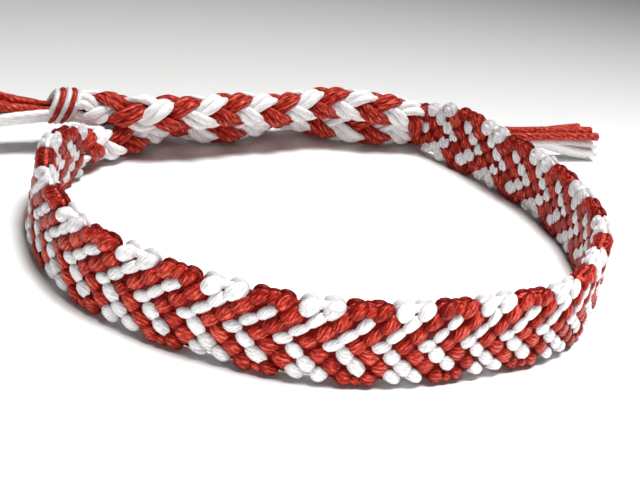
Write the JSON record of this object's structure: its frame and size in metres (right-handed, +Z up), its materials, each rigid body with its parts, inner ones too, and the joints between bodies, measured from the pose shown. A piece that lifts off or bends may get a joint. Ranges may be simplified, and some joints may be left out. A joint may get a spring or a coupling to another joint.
{
  "type": "friendship bracelet",
  "caption": "Flat band of knotted thread with hearts along it, closed into a wrist loop by braids that cross behind and end in knots with loose tails.",
  "frame": {"origin": "middle of the wrist loop, on the surface that it rests on", "axes": "+Z up through the loop, the way a wrist goes through it; -Y towards the front, where the band is nearest the viewer; +X to the viewer's right"},
  "size_m": [0.0808, 0.0685, 0.0079],
  "materials": {
    "knotted_thread": "red and white cotton floss, tied in rows of knots",
    "red_thread": "red cotton floss, soft sheen",
    "white_thread": "white cotton floss, soft sheen"
  },
  "bodies": {
    "root": {"band": "knotted_thread", "knot_left": "white_thread", "knot_right": "white_thread", "braid_upper_white_1": "white_thread", "braid_upper_red_1": "red_thread", "braid_upper_red_2": "red_thread", "braid_upper_white_2": "white_thread", "braid_lower_white_1": "white_thread", "braid_lower_red_1": "red_thread", "braid_lower_red_2": "red_thread", "braid_lower_white_2": "white_thread"}
  },
  "joints": []
}
